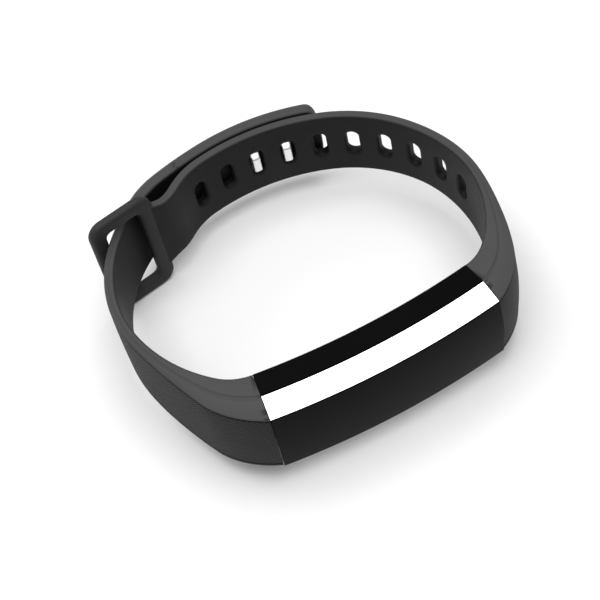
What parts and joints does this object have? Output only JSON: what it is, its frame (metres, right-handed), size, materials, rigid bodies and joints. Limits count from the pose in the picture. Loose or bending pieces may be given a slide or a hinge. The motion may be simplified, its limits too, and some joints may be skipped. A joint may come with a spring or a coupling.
{
  "type": "wrist fitness band",
  "caption": "Closed wrist band with a domed dark display, chamfered case, two flush straps, slotted strap, keeper ring and a studded tail that peels off.",
  "frame": {"origin": "middle of the closed band in plan, on the surface that it stands on, under the keeper ring's lower edge", "axes": "+Z along the wrist, -Y out of the display at the middle of the case, +X along the case towards the slotted strap"},
  "size_m": [0.0772, 0.0724, 0.026],
  "materials": {
    "glass_black": "polished black cover glass",
    "case_black": "satin black moulded plastic",
    "bright_trim": "bright plated chamfer",
    "silicone": "soft matte black silicone",
    "skin_black": "black rubber with a fine raised mesh",
    "steel": "polished stainless steel",
    "gold": "gold plated",
    "rubber_black": "foam rubber",
    "window_clear": "smoked clear plastic",
    "board_green": "circuit board with solder mask",
    "chip_black": "moulded chip package",
    "foil_silver": "dull metal foil",
    "panel_grey": "dark panel",
    "led_green": "clear green resin",
    "film_amber": "amber film",
    "lead_red": "red insulation",
    "lead_black": "black insulation"
  },
  "bodies": {
    "band": {"housing": "case_black", "trim_lower": "bright_trim", "trim_upper": "bright_trim", "front_glass": "glass_black", "rear_cover": "case_black", "rear_gasket": "rubber_black", "sensor_window": "window_clear", "charge_contact_1": "gold", "charge_contact_2": "gold", "cover_screw_1": "steel", "cover_screw_2": "steel", "cover_screw_3": "steel", "cover_screw_4": "steel", "strap_pin_left": "steel", "strap_pin_right": "steel", "sensor_shield": "rubber_black", "sensor_led_left": "led_green", "sensor_led_right": "led_green", "photodiode": "panel_grey", "sensor_board": "board_green", "battery_pad": "rubber_black", "battery": "foil_silver", "main_board": "board_green", "radio_processor": "chip_black", "memory_chip": "chip_black", "motion_sensor": "chip_black", "antenna": "gold", "display_panel": "panel_grey", "touch_film": "window_clear", "display_flex": "film_amber", "battery_lead_positive": "lead_red", "battery_lead_negative": "lead_black", "motor_can": "steel", "holed_strap": "silicone", "holed_strap_skin": "skin_black", "studded_strap": "silicone", "studded_strap_skin": "skin_black"},
    "tail_link": {"tail_middle": "silicone", "tail_middle_skin": "skin_black"},
    "tail_end": {"tail_tip": "silicone", "tail_tip_skin": "skin_black", "stud_plate": "steel", "stud_1": "steel", "stud_2": "steel"},
    "rotor": {"motor_shaft": "steel", "motor_weight": "foil_silver"}
  },
  "joints": [
    {"name": "tail_peel", "type": "hinge", "parent": "band", "child": "tail_link", "pos_m": [-0.01898, 0.03257, 0.01345], "axis": [0, 0, 1], "range_deg": [0, 38], "stiffness_Nm_per_rad": 0.004},
    {"name": "tail_flex", "type": "hinge", "parent": "tail_link", "child": "tail_end", "pos_m": [-0.00615, 0.03565, 0.01345], "axis": [0, 0, 1], "range_deg": [0, 32], "stiffness_Nm_per_rad": 0.004},
    {"name": "motor_spin", "type": "hinge", "parent": "band", "child": "rotor", "pos_m": [0.0155, -0.02857, 0.01005], "axis": [1, 0, 0], "continuous": true}
  ],
  "couplings": [
    {"joint": "tail_flex", "follows": "tail_peel", "ratio": 0.8}
  ]
}
